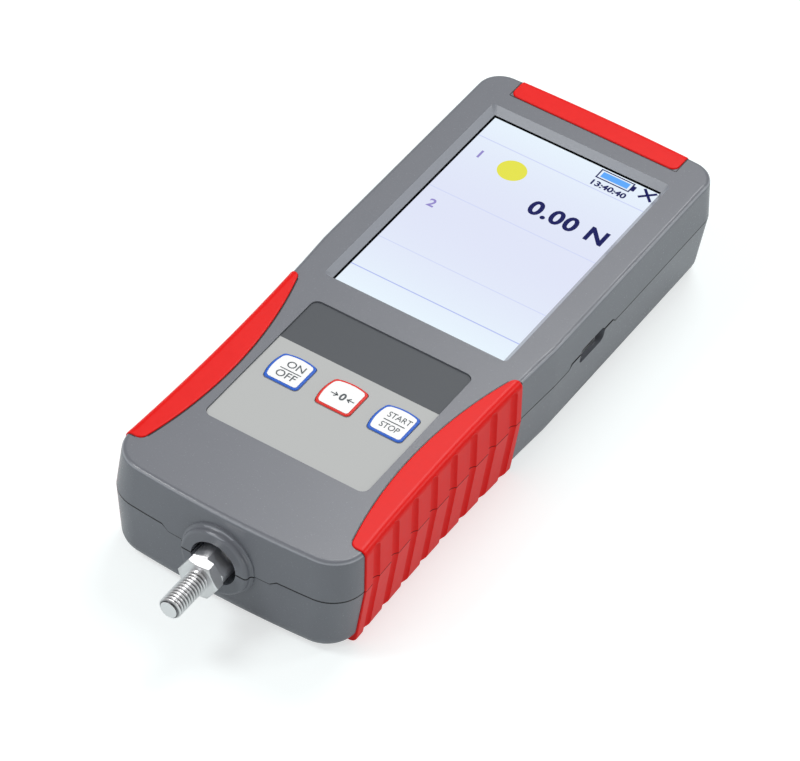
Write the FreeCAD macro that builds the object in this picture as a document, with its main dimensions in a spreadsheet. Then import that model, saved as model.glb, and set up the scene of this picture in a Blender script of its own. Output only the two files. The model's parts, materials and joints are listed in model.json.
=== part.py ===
import FreeCAD, Part
import os
import re
import Sketcher

# A handheld digital force gauge lying on its back.
# +Z is up out of the display, the load stud points along -Y and +X is to the right.
# The origin is the centre of the flat rear face. All lengths are in millimetres.

V = FreeCAD.Vector
doc = FreeCAD.newDocument("ForceGauge")

FULL_TURN = 6.283185307179586

# Driving dimensions
SIZES = [
    ("half_length", 90.0, "housing centre to either end, on the parting line"),
    ("head_half", 35.2, "half width round the display"),
    ("flare_half", 35.4, "half width at the front end"),
    ("waist_bow", 750.0, "radius of the hollow sides"),
    ("waist_end", 7.0, "where the hollow sides run out into the straight head"),
    ("front_bow", 309.0, "radius of the bowed front end"),
    ("back_bow", 676.0, "radius of the bowed back end"),
    ("front_corner", 9.5, "plan radius of the front corners"),
    ("back_corner", 7.0, "plan radius of the back corners"),
    ("body_depth", 31.0, "rear face to display face"),
    ("parting_height", 18.5, "height of the parting line"),
    ("axis_height", 17.0, "height of the load axis"),
    ("parting_gap", 0.15, "open line between the two shells"),
    ("draft", 3.4, "mould draft of the front shell's side walls, degrees"),
    ("rear_draft", 4.6, "mould draft of the rear shell's side walls, degrees"),
    ("top_edge", 1.2, "rounding of the display face's edge"),
    ("rear_edge", 4.5, "rounding of the rear face's edge"),
    ("top_wall", 2.0, "thickness of the display face"),
    ("rear_wall", 2.2, "thickness of the rear face"),
    ("end_wall", 3.6, "thickness of the front and back ends"),
    ("side_wall", 2.8, "thickness of the head's side walls"),
    ("cavity_head_half", "=head_half - side_wall", "half width inside the head"),
    ("cavity_waist_half", 29.5, "half width inside between the grips"),
    ("cavity_corner", 6.0, "inside corner radius"),
    ("collar_outer", 9.6, "radius of the raised collar round the shaft"),
    ("collar_bore", 6.4, "radius of the shaft opening"),
    ("collar_reach", 1.9, "collar's height over the front end"),
    ("collar_edge", 0.9, "rounding of the collar's rim"),
    ("collar_flare", 0.8, "rounding where the collar meets the front end"),
    ("tongue_half", 14.5, "half width of the lowered parting line at the collar"),
    ("tongue_slope", 2.0, "run of its slanted ends"),
    ("socket_y", 25.5, "centre of the data socket"),
    ("socket_height", 18.4, "height of the data socket"),
    ("socket_half", 5.9, "half length of its opening"),
    ("socket_tall", 4.6, "height of its opening"),
    ("socket_step", 1.2, "rise of the parting line at the socket"),
    ("socket_step_half", 10.0, "half length of that rise"),
    ("window_rim", 8.4, "display recess to the head's side"),
    ("window_half", "=head_half - window_rim", "half width of the display recess"),
    ("window_front", -4.35, "front edge of the display recess"),
    ("window_back", 76.35, "back edge of the display recess"),
    ("window_bevel", 1.7, "width of its bevel"),
    ("window_corner", 1.2, "corner radius of the display recess"),
    ("pad_half", 23.3, "half width of the keypad recess"),
    ("pad_front", -63.0, "front edge of the keypad recess"),
    ("pad_back", -13.4, "back edge of the keypad recess"),
    ("pad_corner", 2.2, "corner radius of the keypad recess"),
    ("pad_depth", 0.9, "depth of the keypad recess"),
    ("foil_thick", 0.5, "keypad foil"),
    ("foil_gap", 0.1, "gap round the foil and round each key"),
    ("key_pitch", 15.0, "key to key"),
    ("key_y", -38.8, "keys' centre line"),
    ("key_half", 4.85, "half width of a key"),
    ("key_corner", 1.3, "corner radius of a key"),
    ("key_bulge", 14.0, "radius of a key's two bowed sides"),
    ("key_edge", 0.3, "rounding of a key's rim"),
    ("key_shift", 1.1, "middle key's distance to the right of the middle"),
    ("key_travel", 0.3, "travel of a key"),
    ("key_cap", 0.45, "thickness of a key's cap"),
    ("key_play", 0.05, "gap between a key's plunger and its dome"),
    ("plunger_radius", 2.2, "key plunger"),
    ("plunger_hole", 3.0, "hole for it in the display face"),
    ("grip_front", -79.5, "front end of the grips"),
    ("grip_back", -8.0, "back end of the grips"),
    ("grip_arc", 133.0, "plan radius of the grips' inner edge"),
    ("grip_inner", 25.7, "innermost point of that edge"),
    ("grip_middle", -46.8, "where that point lies along the housing"),
    ("grip_core", 31.4, "half width of the shell under the grips"),
    ("grip_depth", 1.2, "depth of the grips' seat in the faces"),
    ("grip_proud", 0.35, "how far the grips stand proud"),
    ("grip_gap", 0.08, "gap round the grips"),
    ("grip_edge", 2.0, "rounding of the grips' long edge"),
    ("grip_rim", 0.35, "rounding of the grips' inner rim"),
    ("grip_corner", 2.2, "rounding of the grips' plan corners"),
    ("groove_first", -74.5, "first finger groove"),
    ("groove_pitch", 8.9, "groove to groove"),
    ("groove_count", 8, "number of finger grooves on a side"),
    ("groove_radius", 2.1, "radius of a finger groove"),
    ("groove_depth", 0.95, "depth of a finger groove"),
    ("groove_top", 28.8, "upper end of the grooves"),
    ("band_half", 25.0, "half width of the red band on the back end"),
    ("band_front", 81.8, "front edge of the band on the display face"),
    ("band_depth", 1.0, "depth of the band's seat"),
    ("band_seat", 2.0, "band's seat behind the back end"),
    ("band_bottom", 23.0, "lower edge of the band on the back end"),
    ("band_corner", 2.0, "plan corners of the band"),
    ("shaft_radius", 4.9, "load shaft"),
    ("shaft_reach", 5.4, "shaft's end beyond the front end"),
    ("shaft_flat", 4.0, "half distance across its spanner flats"),
    ("flat_length", 5.5, "length of the spanner flats"),
    ("flat_turn", 40.0, "turn of the flats from level, degrees"),
    ("shaft_edge", 0.4, "chamfer of the shaft"),
    ("spigot_radius", 2.8, "shaft's spigot in the load cell"),
    ("spigot_length", 4.7, "length of the spigot"),
    ("stud_radius", 3.0, "load stud, M6"),
    ("thread_mean", 2.68, "radius at which its engaged thread is drawn"),
    ("stud_reach", 15.2, "stud's length beyond the shaft"),
    ("stud_grip", 8.0, "stud's length inside the shaft"),
    ("stud_edge", 0.7, "chamfer of the stud's tip"),
    ("nut_flats", 10.0, "across the flats of the lock nut"),
    ("nut_thick", 3.2, "lock nut, the thin kind"),
    ("nut_turn", 0.0, "turn of the nut from level, degrees"),
    ("nut_gap", 0.1, "gap between the nut and the shaft's end"),
    ("nut_edge", 0.5, "bevel of the nut's corners"),
    ("turn_gap", 0.05, "radial running clearance"),
    ("load_travel", 0.25, "travel of the load shaft at full load"),
    ("cell_front", -78.0, "front face of the load cell"),
    ("cell_length", 20.0, "load cell along the force"),
    ("cell_half", 18.0, "half width of the load cell"),
    ("cell_tall", 12.0, "height of the load cell"),
    ("cell_slot", 2.0, "width of its two slots"),
    ("cell_arm", 5.0, "thickness of its end arms"),
    ("cell_web", 6.0, "uncut end of each slot"),
    ("gauge_side", 5.0, "side of a strain gauge"),
    ("gauge_thick", 0.15, "strain gauge"),
    ("frame_thick", 3.0, "plate of the mounting frame"),
    ("frame_half", 22.0, "half width of that plate"),
    ("frame_front", -84.0, "front edge of the plate"),
    ("frame_back", -12.0, "back edge of the plate"),
    ("lug_half", 11.0, "half width of the frame's lug"),
    ("lug_thick", 6.0, "thickness of the lug"),
    ("rib_thick", 3.0, "lug's ribs"),
    ("rib_run", 16.0, "length of those ribs on the plate"),
    ("mount_x", 17.0, "rear mounting holes to the middle"),
    ("mount_y", -49.0, "centre of the rear mounting holes"),
    ("mount_span", 25.0, "half their distance along the housing"),
    ("mount_boss", 5.0, "radius of the threaded bosses"),
    ("mount_hole", 2.0, "radius of the M4 thread"),
    ("frame_screw_span", 9.0, "half the frame screws' distance along the housing"),
    ("frame_screw", 1.5, "radius of the frame screws, M3"),
    ("frame_head", 2.7, "radius of their countersunk heads"),
    ("frame_head_tall", 1.4, "height of those heads"),
    ("mount_gap", 0.2, "gap round the bosses"),
    ("shell_screw_back", 81.5, "back pair of housing screws"),
    ("shell_screw_front", -81.0, "front pair of housing screws"),
    ("shell_screw_inset", 7.7, "back pair from the head's side"),
    ("shell_screw_back_x", "=head_half - shell_screw_inset", "back pair from the middle"),
    ("shell_screw_front_x", 25.7, "front pair from the middle"),
    ("boss_radius", 3.3, "screw bosses"),
    ("boss_split", 14.0, "height where the bosses meet"),
    ("screw_radius", 1.25, "self-tapping screws"),
    ("screw_head", 2.5, "their heads"),
    ("head_tall", 1.8, "height of their heads"),
    ("head_seat", 3.0, "depth of their counterbores"),
    ("screw_length", 16.0, "length of the housing screws"),
    ("small_screw", 0.9, "radius of the board screws"),
    ("small_head", 1.7, "radius of their heads"),
    ("small_tall", 1.1, "height of their heads"),
    ("small_length", 4.5, "length of the board screws"),
    ("small_boss", 1.9, "radius of the board bosses"),
    ("glass_thick", 1.2, "touch panel"),
    ("glass_lap", 0.2, "panel's overlap beyond the recess at its sides"),
    ("glass_half", "=window_half + glass_lap", "half width of the touch panel"),
    ("glass_margin", 1.25, "panel's overlap beyond the recess, front and back"),
    ("gasket_thick", 0.4, "foam gasket"),
    ("gasket_width", 1.7, "width of the gasket"),
    ("lcd_thick", 2.8, "display module"),
    ("carrier_thick", 2.6, "display carrier"),
    ("carrier_width", 2.2, "width of the carrier's frame"),
    ("board_thick", 1.6, "main board"),
    ("board_gap", 0.7, "main board to the side walls"),
    ("board_half", "=cavity_head_half - board_gap", "half width of the main board"),
    ("board_front", -14.0, "front edge of the main board"),
    ("board_back", 77.8, "back edge of the main board"),
    ("board_screw_inset", 2.0, "board screws to the board's sides"),
    ("board_screw_x", "=board_half - board_screw_inset", "board screws to the middle"),
    ("board_screw_front", 12.0, "front pair of board screws"),
    ("board_screw_back", 68.0, "back pair of board screws"),
    ("keyboard_thick", 1.0, "keypad board"),
    ("keyboard_half", 20.5, "half width of the keypad board"),
    ("keyboard_front", -57.0, "front edge of the keypad board"),
    ("keyboard_back", -20.0, "back edge of the keypad board"),
    ("keyboard_drop", 1.4, "keypad board below the display face's wall"),
    ("keyboard_inset", 3.0, "keypad screws from the board's edges"),
    ("dome_radius", 3.5, "snap dome"),
    ("dome_tall", 0.4, "height of a snap dome"),
    ("receptacle_wide", 7.8, "data receptacle"),
    ("receptacle_tall", 3.9, "data receptacle"),
    ("receptacle_wall", 0.35, "its sheet steel"),
    ("receptacle_length", 9.0, "its depth"),
    ("receptacle_inset", 1.6, "its mouth behind the head's side"),
    ("receptacle_mouth", "=head_half - receptacle_inset", "where its mouth lies"),
    ("tongue_wide", 5.0, "contact tongue in the receptacle"),
    ("tongue_thick", 0.9, "contact tongue"),
    ("battery_pad", 0.8, "adhesive pad under the battery"),
    ("battery_half", 17.0, "half width of the battery"),
    ("battery_front", 12.0, "front end of the battery"),
    ("battery_back", 66.0, "back end of the battery"),
    ("battery_thick", 8.0, "battery"),
    ("battery_corner", 2.5, "rounded long edges of the battery"),
    ("tray_wall", 1.6, "ribs round the battery"),
    ("tray_tall", 5.0, "height of those ribs"),
    ("tray_gap", 0.4, "gap between the battery and its ribs"),
    ("buzzer_radius", 5.0, "buzzer"),
    ("buzzer_tall", 4.0, "height of the buzzer"),
    ("buzzer_x", -21.0, "buzzer's place"),
    ("buzzer_y", 71.5, "buzzer's place"),
    ("flex_thick", 0.2, "flexible leads"),
    ("flex_half", 3.0, "half width of the flexible leads"),
    ("flex_land", 4.0, "length of a lead's soldered ends"),
]

sheet = doc.addObject("Spreadsheet::Sheet", "Sizes")
for row, (alias, number, note) in enumerate(SIZES, start=1):
    sheet.set("A%d" % row, alias)
    sheet.set("B%d" % row, str(number))
    sheet.set("C%d" % row, note)
    sheet.setAlias("B%d" % row, alias)
doc.recompute()
ALIASES = {alias for alias, number, note in SIZES}


def bound(text):
    """Write an expression on the sheet's names so that any object can use it."""
    return re.sub(r"[a-z][a-z_]+", lambda word: "Sizes." + word.group()
                  if word.group() in ALIASES else word.group(), str(text))


def value(text):
    """The number that an expression on the sheet's names has now."""
    result = sheet.evalExpression(str(text))
    return float(getattr(result, "Value", result))


# Derived heights, as expressions on the sheet
SEAM = "parting_height"
CEILING = "(body_depth - top_wall)"
GLASS_TOP = "(body_depth - top_wall - gasket_thick)"
LCD_TOP = "(body_depth - top_wall - gasket_thick - glass_thick)"
LCD_BOTTOM = "(body_depth - top_wall - gasket_thick - glass_thick - lcd_thick)"
BOARD_TOP = ("(body_depth - top_wall - gasket_thick - glass_thick - lcd_thick"
             " - carrier_thick)")
BOARD_BOTTOM = BOARD_TOP[:-1] + " - board_thick)"
KEYBOARD_TOP = "(body_depth - top_wall - keyboard_drop)"
KEYBOARD_BOTTOM = "(body_depth - top_wall - keyboard_drop - keyboard_thick)"
FRONT_FACE = "(0 - half_length)"
SHAFT_END = "(0 - half_length - shaft_reach)"
CELL_BACK = "(cell_front + cell_length)"
FRAME_TOP = "(rear_wall + frame_thick)"


# Helpers for bodies, sketches and features

def body(label):
    made = doc.addObject("PartDesign::Body", label)
    made.Label = label
    return made


def sketch(owner, name, plane, height="0"):
    """A sketch on one of the body's own origin planes, moved along that plane's normal."""
    made = owner.newObject("Sketcher::SketchObject", name)
    origin = [o for o in owner.Origin.OriginFeatures if o.Role == plane][0]
    made.AttachmentSupport = [(origin, "")]
    made.MapMode = "FlatFace"
    made.AttachmentOffset = FreeCAD.Placement(V(0, 0, value(height)), FreeCAD.Rotation())
    made.setExpression(".AttachmentOffset.Base.z", bound(height))
    return made


def pin_point(made, geo, end, x_text, y_text, tag):
    """Tie one end of a line or arc to a place given by two expressions."""
    for kind, text, letter in (("DistanceX", x_text, "x"), ("DistanceY", y_text, "y")):
        index = made.addConstraint(Sketcher.Constraint(kind, -1, 1, geo, end, value(text)))
        made.renameConstraint(index, letter + tag)
        made.setExpression("Constraints." + letter + tag, bound(text))


def arc_between(start, finish, radius, left):
    """An arc of a radius from start to finish, bulging to the left or right of the way."""
    middle = (start + finish) * 0.5
    along = finish - start
    normal = V(-along.y, along.x, 0).normalize()
    side = -1.0 if left else 1.0
    rise = (radius ** 2 - (along.Length / 2) ** 2) ** 0.5
    centre = middle + normal * rise * side
    circle = Part.Circle(centre, V(0, 0, 1), radius)
    a, b = circle.parameter(start), circle.parameter(finish)
    if left:
        a, b = b, a
    if b < a:
        b += FULL_TURN
    return Part.ArcOfCircle(circle, a, b)


def outline(made, steps):
    """A closed loop. Each step is x, y and, for an arc to the next point, (radius, 'left')."""
    points = [V(value(step[0]), value(step[1]), 0) for step in steps]
    count = len(steps)
    ends = []
    first = made.GeometryCount
    for i, step in enumerate(steps):
        start, finish = points[i], points[(i + 1) % count]
        if len(step) == 2:
            geo = made.addGeometry(Part.LineSegment(start, finish), False)
            ends.append((geo, 1, 2))
        else:
            left = step[3] == "left"
            geo = made.addGeometry(arc_between(start, finish, value(step[2]), left), False)
            ends.append((geo, 2, 1) if left else (geo, 1, 2))
    joins = [Sketcher.Constraint("Coincident", ends[i][0], ends[i][2],
                                 ends[(i + 1) % count][0], ends[(i + 1) % count][1])
             for i in range(count)]
    made.addConstraint(joins)
    for i, step in enumerate(steps):
        tag = "%d" % (first + i)
        pin_point(made, ends[i][0], ends[i][1], step[0], step[1], tag)
        if len(step) > 2:
            index = made.addConstraint(Sketcher.Constraint("Radius", ends[i][0],
                                                           value(step[2])))
            made.renameConstraint(index, "r" + tag)
            made.setExpression("Constraints.r" + tag, bound(step[2]))


def rectangle(made, x_low, x_high, y_low, y_high):
    outline(made, [(x_low, y_low), (x_high, y_low), (x_high, y_high), (x_low, y_high)])


def disc(made, x_text, y_text, radius):
    geo = made.addGeometry(Part.Circle(V(value(x_text), value(y_text), 0), V(0, 0, 1),
                                       value(radius)), False)
    tag = "%d" % geo
    pin_point(made, geo, 3, x_text, y_text, tag)
    index = made.addConstraint(Sketcher.Constraint("Radius", geo, value(radius)))
    made.renameConstraint(index, "r" + tag)
    made.setExpression("Constraints.r" + tag, bound(radius))


def feature(owner, kind, profile, length, reverse=False, draft=None):
    """A pad or pocket of a sketch."""
    made = owner.newObject("PartDesign::" + kind, kind + "_" + profile.Label)
    made.Profile = profile
    made.Length = value(length)
    made.setExpression("Length", bound(length))
    made.Reversed = reverse
    if draft is not None:
        made.TaperAngle = value(draft)
        made.setExpression("TaperAngle", bound(draft))
    profile.Visibility = False
    doc.recompute()
    return made


def pad(owner, profile, length, reverse=False, draft=None):
    return feature(owner, "Pad", profile, length, reverse, draft)


def pocket(owner, profile, length, reverse=False, draft=None):
    before = owner.Shape.Volume
    made = feature(owner, "Pocket", profile, length, reverse, draft)
    assert owner.Shape.Volume < before, "pocket cuts nothing: " + made.Label
    return made


def dress(owner, kind, size, chooses):
    """A fillet or chamfer on the edges that a test picks out."""
    doc.recompute()
    base = owner.Tip
    names = ["Edge%d" % (i + 1) for i, edge in enumerate(base.Shape.Edges)
             if chooses(edge)]
    assert names, "no edge found on " + owner.Label
    made = owner.newObject("PartDesign::" + kind, kind + "_" + owner.Label)
    made.Base = (base, names)
    link = "Radius" if kind == "Fillet" else "Size"
    setattr(made, link, value(size))
    made.setExpression(link, bound(size))
    doc.recompute()
    return made


def upright(edge):
    """Whether an edge runs mostly along Z."""
    box = edge.BoundBox
    return box.ZLength > 2 * max(box.XLength, box.YLength) and box.ZLength > 1e-3


def at_height(height):
    """A test for edges that lie level at a height."""
    level = value(height)
    return lambda edge: (abs(edge.BoundBox.ZMin - level) < 1e-4
                         and abs(edge.BoundBox.ZMax - level) < 1e-4)


def common(label, first, second):
    made = doc.addObject("Part::Common", label)
    made.Base, made.Tool = first, second
    doc.recompute()
    return made


def cut(label, first, second):
    made = doc.addObject("Part::Cut", label)
    made.Base, made.Tool = first, second
    doc.recompute()
    return made


def fuse(label, shapes):
    made = doc.addObject("Part::MultiFuse", label)
    made.Shapes = shapes
    doc.recompute()
    return made


# Housing form

def bow_drop(radius, half):
    """How far a bowed end falls back at a half width."""
    return "(%s - sqrt(%s^2 - (%s)^2))" % (radius, radius, half)


def housing_outline(made, grow="0"):
    """The bowed and waisted plan of the housing at its widest."""
    flare = "(flare_half + %s)" % grow
    head = "(head_half + %s)" % grow
    front = "(%s - half_length - %s)" % (bow_drop("front_bow", flare), grow)
    back = "(half_length + %s - %s)" % (grow, bow_drop("back_bow", head))
    outline(made, [
        ("0 - " + flare, front, "front_bow", "right"),
        (flare, front, "waist_bow", "left"),
        (head, "waist_end"),
        (head, back, "back_bow", "right"),
        ("0 - " + head, back),
        ("0 - " + head, "waist_end", "waist_bow", "left"),
    ])


def side_half(along):
    """Half width of the hollow side at a place along the housing, on the parting line."""
    flare, head, bow = value("flare_half"), value("head_half"), value("waist_bow")
    front = value("front_bow - half_length - sqrt(front_bow^2 - flare_half^2)")
    ends = V(head - flare, value("waist_end") - front, 0)
    centre = V((flare + head) / 2, front + ends.y / 2, 0)
    rise = (bow ** 2 - (ends.Length / 2) ** 2) ** 0.5
    centre = centre + V(ends.y, -ends.x, 0).normalize() * rise
    return centre.x - (bow ** 2 - (along - centre.y) ** 2) ** 0.5


def corner_test(low, high):
    """A test for upright edges between two places along the housing."""
    return lambda edge: upright(edge) and low < edge.BoundBox.Center.y < high


def housing_form(owner, top, base=SEAM, grow="0", edge="top_edge"):
    """The solid outside form of one half, from its widest plan to its face."""
    plan = sketch(owner, owner.Label + "_plan", "XY_Plane", base)
    housing_outline(plan, grow)
    if top:
        pad(owner, plan, "body_depth - %s + %s" % (base, grow), draft="0 - draft")
        face = "body_depth + %s" % grow
    else:
        pad(owner, plan, "%s + %s" % (base, grow), reverse=True, draft="0 - rear_draft")
        face = "0 - %s" % grow
    far = value("half_length")
    dress(owner, "Fillet", "front_corner", corner_test(-far, -far / 2))
    dress(owner, "Fillet", "back_corner", corner_test(far / 2, far))
    dress(owner, "Fillet", edge, at_height(face))


def cavity_outline(made):
    """The plan of the space inside, narrower between the grips."""
    corner = "cavity_corner"
    head, waist = "cavity_head_half", "cavity_waist_half"
    front, back = "(end_wall - half_length)", "(half_length - end_wall)"
    step, shoulder = "(waist_end - 4)", "(waist_end + 4)"
    outline(made, [
        ("%s - %s" % (waist, corner), front, corner, "right"),
        (waist, "%s + %s" % (front, corner)),
        (waist, step),
        (head, shoulder),
        (head, "%s - %s" % (back, corner), corner, "right"),
        ("%s - %s" % (head, corner), back),
        ("0 - (%s - %s)" % (head, corner), back, corner, "right"),
        ("0 - " + head, "%s - %s" % (back, corner)),
        ("0 - " + head, shoulder),
        ("0 - " + waist, step),
        ("0 - " + waist, "%s + %s" % (front, corner), corner, "right"),
        ("0 - (%s - %s)" % (waist, corner), front),
    ])


def collar(owner):
    """The raised ring round the load shaft, turned about the load axis."""
    ring = sketch(owner, owner.Label + "_collar", "XY_Plane", "axis_height")
    rim = "(0 - half_length - collar_reach)"
    foot = "(collar_outer + collar_flare)"
    outline(ring, [
        ("0", rim),
        ("collar_outer - collar_edge", rim, "collar_edge", "right"),
        ("collar_outer", rim + " + collar_edge"),
        ("collar_outer", FRONT_FACE + " - collar_flare", "collar_flare", "left"),
        (foot, FRONT_FACE),
        (foot, "end_wall - half_length"),
        ("0", "end_wall - half_length"),
    ])
    made = owner.newObject("PartDesign::Revolution", "Collar_" + owner.Label)
    made.Profile = ring
    made.ReferenceAxis = (ring, ["V_Axis"])
    made.Angle = 360.0
    ring.Visibility = False
    doc.recompute()


def collar_bore(owner):
    hole = sketch(owner, owner.Label + "_bore", "XZ_Plane",
                  "half_length + collar_reach + 1")
    disc(hole, "0", "axis_height", "collar_bore")
    pocket(owner, hole, "end_wall + collar_reach + 3")


def socket_opening(owner):
    """The rounded slot in the right wall for the data receptacle."""
    slot = sketch(owner, owner.Label + "_socket", "YZ_Plane", "head_half + 2")
    rounded(slot, "(socket_y - socket_half)", "(socket_y + socket_half)",
            "(socket_height - socket_tall / 2)", "(socket_height + socket_tall / 2)",
            "(socket_tall / 3)")
    pocket(owner, slot, "head_half - cavity_head_half + 3")


def rounded(made, x_low, x_high, y_low, y_high, corner):
    """A rectangle with rounded corners."""
    outline(made, [
        (x_low + " + " + corner, y_low),
        (x_high + " - " + corner, y_low, corner, "right"),
        (x_high, y_low + " + " + corner),
        (x_high, y_high + " - " + corner, corner, "right"),
        (x_high + " - " + corner, y_high),
        (x_low + " + " + corner, y_high, corner, "right"),
        (x_low, y_high + " - " + corner),
        (x_low, y_low + " + " + corner, corner, "right"),
    ])


def grip_corner_points(end, gap, back):
    """Where a rounded corner of a grip leaves its straight end and its curved edge."""
    radius, corner = "(grip_arc - %s)" % gap, "(grip_corner - %s)" % gap
    middle = "(grip_inner + grip_arc)"
    along = "(%s %s %s)" % (end, "-" if back else "+", corner)
    reach = "sqrt((%s - %s)^2 - (%s - grip_middle)^2)" % (radius, corner, along)
    share = "(%s / (%s - %s))" % (radius, radius, corner)
    on_end = ("(%s - %s)" % (middle, reach), end)
    on_arc = ("(%s - %s * %s)" % (middle, share, reach),
              "(grip_middle + %s * (%s - grip_middle))" % (share, along))
    return on_end, on_arc


def grip_space(label, gap):
    """The room that the right grip takes in the housing, less a gap on every side."""
    room = body(label)
    plan = sketch(room, label + "_plan", "XY_Plane", "0 - 10")
    front, back = "(grip_front + %s)" % gap, "(grip_back - %s)" % gap
    end_a, arc_a = grip_corner_points(front, gap, False)
    end_b, arc_b = grip_corner_points(back, gap, True)
    corner, beyond = "(grip_corner - %s)" % gap, "(flare_half + 10)"
    outline(plan, [
        (beyond, front), (beyond, back), end_b + (corner, "right"),
        arc_b + ("(grip_arc - %s)" % gap, "right"), arc_a + (corner, "right"), end_a,
    ])
    pad(room, plan, "body_depth + 20")
    core = sketch(room, label + "_core", "XZ_Plane", "half_length + 10")
    rectangle(core, "0", "grip_core + %s" % gap, "grip_depth - %s" % gap,
              "body_depth - grip_depth + %s" % gap)
    pocket(room, core, "2 * half_length + 20")
    return room


def band_space(label, gap):
    """The room that the red band takes on the display face and over the back end."""
    room = body(label)
    side, corner = "(band_half - %s)" % gap, "(band_corner - %s)" % gap
    face = sketch(room, label + "_face", "XY_Plane", "body_depth - band_depth + %s" % gap)
    rounded(face, "(0 - %s)" % side, side, "(band_front + %s)" % gap,
            "(half_length + 10)", corner)
    pad(room, face, "band_depth + 10")
    end = sketch(room, label + "_end", "XZ_Plane", "band_seat - half_length - %s" % gap)
    rounded(end, "(0 - %s)" % side, side, "(band_bottom + %s)" % gap,
            "(body_depth + 10)", corner)
    pad(room, end, "band_seat + 10", reverse=True)
    return room


def mirrored(label, source):
    """The same piece on the left."""
    made = doc.addObject("Part::Mirroring", label)
    made.Source = source
    made.Base, made.Normal = V(0, 0, 0), V(1, 0, 0)
    doc.recompute()
    return made


def edges_rounded(label, base, size, chooses):
    """A piece with the edges that a test picks out rounded."""
    picked = [(i + 1, value(size), value(size))
              for i, edge in enumerate(base.Shape.Edges) if chooses(edge)]
    assert picked, "no edge found on " + label
    made = doc.addObject("Part::Fillet", label)
    made.Base, made.Edges = base, picked
    doc.recompute()
    return made


def shell_screw_places():
    """The four housing screws, as pairs of expressions."""
    return [(sign + across, along)
            for across, along in (("shell_screw_back_x", "shell_screw_back"),
                                  ("shell_screw_front_x", "shell_screw_front"))
            for sign in ("0 - ", "0 + ")]


def board_places():
    return [(sign + "board_screw_x", along) for sign in ("0 - ", "0 + ")
            for along in ("board_screw_front", "board_screw_back")]


def keyboard_places():
    return [(sign + "(keyboard_half - keyboard_inset)", along)
            for sign in ("0 - ", "0 + ")
            for along in ("keyboard_front + keyboard_inset",
                          "keyboard_back - keyboard_inset")]


def mount_places():
    return [(sign + "mount_x", "mount_y %s mount_span" % way)
            for sign in ("0 - ", "0 + ") for way in ("-", "+")]


def frame_screw_places():
    return [(sign + "mount_x", "mount_y %s frame_screw_span" % way)
            for sign in ("0 - ", "0 + ") for way in ("-", "+")]


def key_places():
    """Each key's name and place across the keypad."""
    return [("on_off", "(key_shift - key_pitch)"), ("zero", "key_shift"),
            ("start_stop", "(key_shift + key_pitch)")]


def posts(owner, name, places, radius, height, length, reverse):
    """Round posts on a group of places."""
    group = sketch(owner, owner.Label + "_" + name, "XY_Plane", height)
    for across, along in places:
        disc(group, across, along, radius)
    return pad(owner, group, length, reverse)


def holes(owner, name, places, radius, height, length, reverse=False):
    """Round holes on a group of places."""
    group = sketch(owner, owner.Label + "_" + name, "XY_Plane", height)
    for across, along in places:
        disc(group, across, along, radius)
    return pocket(owner, group, length, reverse)


def front_shell(right_seat, left_seat, band_seat):
    shell = body("front_shell_body")
    housing_form(shell, True, base="axis_height")
    collar(shell)
    seam = "(parting_height + parting_gap / 2)"
    low = "(axis_height + parting_gap / 2)"
    wide = "(flare_half + 20)"
    end = "(tongue_half + tongue_slope)"
    line = sketch(shell, "front_shell_parting", "XZ_Plane", "half_length + 10")
    outline(line, [
        ("0 - " + wide, seam), ("0 - " + wide, "0 - 10"), (wide, "0 - 10"),
        (wide, seam), (end, seam), ("tongue_half", low), ("0 - tongue_half", low),
        ("0 - " + end, seam),
    ])
    pocket(shell, line, "2 * half_length + 20")
    inside = sketch(shell, "front_shell_inner_seam", "XY_Plane", "axis_height - 1")
    rectangle(inside, "0 - " + wide, wide, "end_wall - half_length", "half_length + 5")
    pocket(shell, inside, seam + " - axis_height + 1", reverse=True)
    space = sketch(shell, "front_shell_cavity", "XY_Plane", "axis_height - 1")
    cavity_outline(space)
    pocket(shell, space, CEILING + " - axis_height + 1", reverse=True)
    collar_bore(shell)
    socket_rise(shell, seam)
    socket_opening(shell)
    window = sketch(shell, "front_shell_window", "XY_Plane", "body_depth")
    rounded(window, "(0 - window_half)", "(0 + window_half)", "window_front",
            "window_back", "window_corner")
    pocket(shell, window, "top_wall", draft="-1 * atan(window_bevel / top_wall)")
    recess = sketch(shell, "front_shell_keypad", "XY_Plane", "body_depth")
    rounded(recess, "(0 - pad_half)", "(0 + pad_half)", "pad_front", "pad_back",
            "pad_corner")
    pocket(shell, recess, "pad_depth")
    holes(shell, "plungers", [(across, "key_y") for name, across in key_places()],
          "plunger_hole", "body_depth", "top_wall + 1")
    split = "(boss_split + parting_gap / 2)"
    posts(shell, "bosses", shell_screw_places(), "boss_radius", CEILING,
          CEILING + " - " + split, True)
    holes(shell, "pilots", shell_screw_places(), "screw_radius + turn_gap", split,
          "screw_length + head_seat + 1 - boss_split", True)
    posts(shell, "board_bosses", board_places(), "small_boss", CEILING,
          CEILING + " - " + BOARD_TOP, True)
    holes(shell, "board_pilots", board_places(), "small_screw + turn_gap", BOARD_TOP,
          "small_length", True)
    posts(shell, "keypad_bosses", keyboard_places(), "small_boss", CEILING,
          CEILING + " - " + KEYBOARD_TOP, True)
    seats = fuse("front_shell_seats", [right_seat, left_seat, band_seat])
    return cut("front_shell", shell, seats)


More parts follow.
